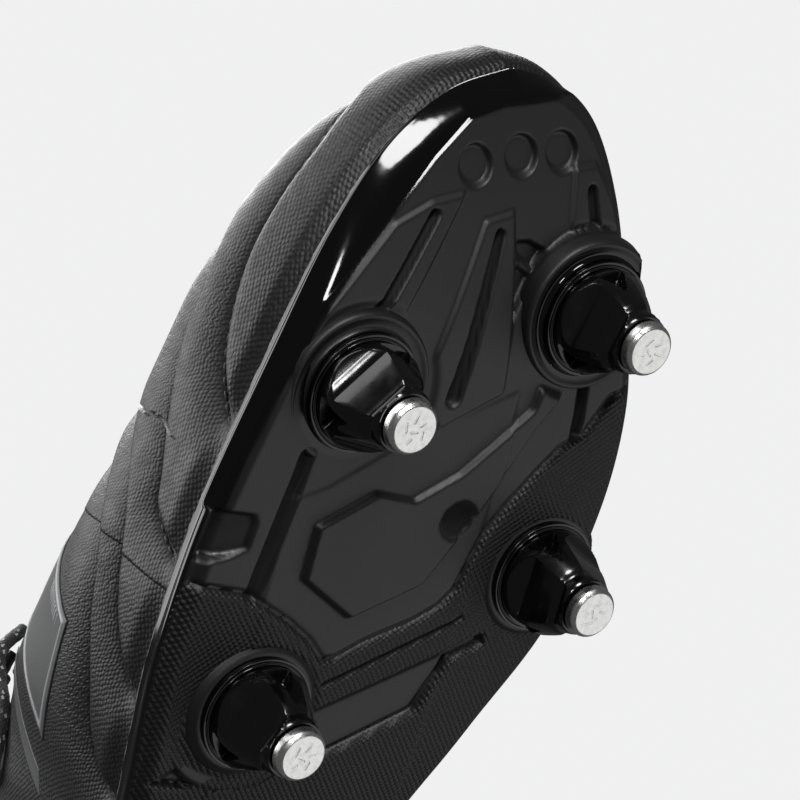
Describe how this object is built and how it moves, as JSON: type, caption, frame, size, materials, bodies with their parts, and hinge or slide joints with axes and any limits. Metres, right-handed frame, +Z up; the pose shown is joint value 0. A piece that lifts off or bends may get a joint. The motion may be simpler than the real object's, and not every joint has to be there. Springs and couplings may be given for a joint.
{
  "type": "soccer cleat",
  "caption": "Right soccer cleat for soft ground: layered leather-look upper with lacing, moulded plate, and screw-in studs with metal tips that unscrew one by one.",
  "frame": {"origin": "centre of the boot's box in plan, on the ground that the stud tips stand on", "axes": "+X to the toe, +Y to the medial (inner) side, +Z up"},
  "size_m": [0.2806, 0.09, 0.131],
  "materials": {
    "plate_nylon": "gloss black moulded nylon",
    "stud_nylon": "polished black nylon",
    "tip_aluminium": "bright turned aluminium, light scuffs",
    "post_steel": "zinc-plated steel",
    "insert_brass": "turned brass",
    "upper_skin": "black coated synthetic leather with a fine raised grain",
    "flash_silver": "silver-grey film",
    "lining_textile": "dark knitted lining",
    "foam": "open foam",
    "stiffener": "thermoplastic board",
    "board_fibre": "fibre board",
    "sockliner_foam": "moulded foam with a knitted face",
    "lace_polyester": "black braid with pale flecks",
    "aglet_plastic": "clear-coated black tube"
  },
  "bodies": {
    "boot": {"outsole_plate": "plate_nylon", "insole_board": "board_fibre", "sockliner": "sockliner_foam", "vamp": "upper_skin", "quarter_lateral": "upper_skin", "quarter_medial": "upper_skin", "heel_panel": "upper_skin", "eyestay_lateral": "upper_skin", "eyestay_medial": "upper_skin", "tongue": "lining_textile", "vamp_lining": "lining_textile", "quarter_lining": "lining_textile", "collar_padding": "foam", "toe_puff": "stiffener", "heel_counter": "stiffener", "side_flash_lateral": "flash_silver", "side_flash_medial": "flash_silver", "side_line_lateral": "flash_silver", "side_line_medial": "flash_silver", "lace": "lace_polyester", "lace_knot": "lace_polyester", "lace_loop_lateral": "lace_polyester", "lace_loop_medial": "lace_polyester", "lace_tail_lateral": "lace_polyester", "lace_tail_medial": "lace_polyester", "aglet_lateral": "aglet_plastic", "aglet_medial": "aglet_plastic", "pull_tab": "lace_polyester", "stud_front_lateral_insert": "insert_brass", "stud_front_medial_insert": "insert_brass", "stud_mid_lateral_insert": "insert_brass", "stud_mid_medial_insert": "insert_brass", "stud_heel_lateral_insert": "insert_brass", "stud_heel_medial_insert": "insert_brass"},
    "washer_front_lateral": {"stud_front_lateral_washer": "stud_nylon"},
    "stud_front_lateral": {"stud_front_lateral": "stud_nylon", "stud_front_lateral_tip": "tip_aluminium", "stud_front_lateral_post": "post_steel"},
    "washer_front_medial": {"stud_front_medial_washer": "stud_nylon"},
    "stud_front_medial": {"stud_front_medial": "stud_nylon", "stud_front_medial_tip": "tip_aluminium", "stud_front_medial_post": "post_steel"},
    "washer_mid_lateral": {"stud_mid_lateral_washer": "stud_nylon"},
    "stud_mid_lateral": {"stud_mid_lateral": "stud_nylon", "stud_mid_lateral_tip": "tip_aluminium", "stud_mid_lateral_post": "post_steel"},
    "washer_mid_medial": {"stud_mid_medial_washer": "stud_nylon"},
    "stud_mid_medial": {"stud_mid_medial": "stud_nylon", "stud_mid_medial_tip": "tip_aluminium", "stud_mid_medial_post": "post_steel"},
    "washer_heel_lateral": {"stud_heel_lateral_washer": "stud_nylon"},
    "stud_heel_lateral": {"stud_heel_lateral": "stud_nylon", "stud_heel_lateral_tip": "tip_aluminium", "stud_heel_lateral_post": "post_steel"},
    "washer_heel_medial": {"stud_heel_medial_washer": "stud_nylon"},
    "stud_heel_medial": {"stud_heel_medial": "stud_nylon", "stud_heel_medial_tip": "tip_aluminium", "stud_heel_medial_post": "post_steel"}
  },
  "joints": [
    {"name": "drop_front_lateral", "type": "slide", "parent": "boot", "child": "washer_front_lateral", "axis": [0, 0, -1], "range_m": [0, 0.0056]},
    {"name": "unscrew_front_lateral", "type": "hinge", "parent": "washer_front_lateral", "child": "stud_front_lateral", "pos_m": [0.0824, -0.0196, 0.016], "axis": [0, 0, -1], "range_deg": [0, 2520]},
    {"name": "drop_front_medial", "type": "slide", "parent": "boot", "child": "washer_front_medial", "axis": [0, 0, -1], "range_m": [0, 0.0056]},
    {"name": "unscrew_front_medial", "type": "hinge", "parent": "washer_front_medial", "child": "stud_front_medial", "pos_m": [0.0993, 0.0276, 0.016], "axis": [0, 0, -1], "range_deg": [0, 2520]},
    {"name": "drop_mid_lateral", "type": "slide", "parent": "boot", "child": "washer_mid_lateral", "axis": [0, 0, -1], "range_m": [0, 0.0056]},
    {"name": "unscrew_mid_lateral", "type": "hinge", "parent": "washer_mid_lateral", "child": "stud_mid_lateral", "pos_m": [0.0196, -0.0246, 0.016], "axis": [0, 0, -1], "range_deg": [0, 2520]},
    {"name": "drop_mid_medial", "type": "slide", "parent": "boot", "child": "washer_mid_medial", "axis": [0, 0, -1], "range_m": [0, 0.0056]},
    {"name": "unscrew_mid_medial", "type": "hinge", "parent": "washer_mid_medial", "child": "stud_mid_medial", "pos_m": [0.0471, 0.0326, 0.016], "axis": [0, 0, -1], "range_deg": [0, 2520]},
    {"name": "drop_heel_lateral", "type": "slide", "parent": "boot", "child": "washer_heel_lateral", "axis": [0, 0, -1], "range_m": [0, 0.0056]},
    {"name": "unscrew_heel_lateral", "type": "hinge", "parent": "washer_heel_lateral", "child": "stud_heel_lateral", "pos_m": [-0.1049, -0.0273, 0.018], "axis": [0, 0, -1], "range_deg": [0, 2520]},
    {"name": "drop_heel_medial", "type": "slide", "parent": "boot", "child": "washer_heel_medial", "axis": [0, 0, -1], "range_m": [0, 0.0056]},
    {"name": "unscrew_heel_medial", "type": "hinge", "parent": "washer_heel_medial", "child": "stud_heel_medial", "pos_m": [-0.1009, 0.0087, 0.018], "axis": [0, 0, -1], "range_deg": [0, 2520]}
  ],
  "couplings": [
    {"joint": "drop_front_lateral", "follows": "unscrew_front_lateral", "m_per_rad": 0.00012732},
    {"joint": "drop_front_medial", "follows": "unscrew_front_medial", "m_per_rad": 0.00012732},
    {"joint": "drop_mid_lateral", "follows": "unscrew_mid_lateral", "m_per_rad": 0.00012732},
    {"joint": "drop_mid_medial", "follows": "unscrew_mid_medial", "m_per_rad": 0.00012732},
    {"joint": "drop_heel_lateral", "follows": "unscrew_heel_lateral", "m_per_rad": 0.00012732},
    {"joint": "drop_heel_medial", "follows": "unscrew_heel_medial", "m_per_rad": 0.00012732}
  ]
}
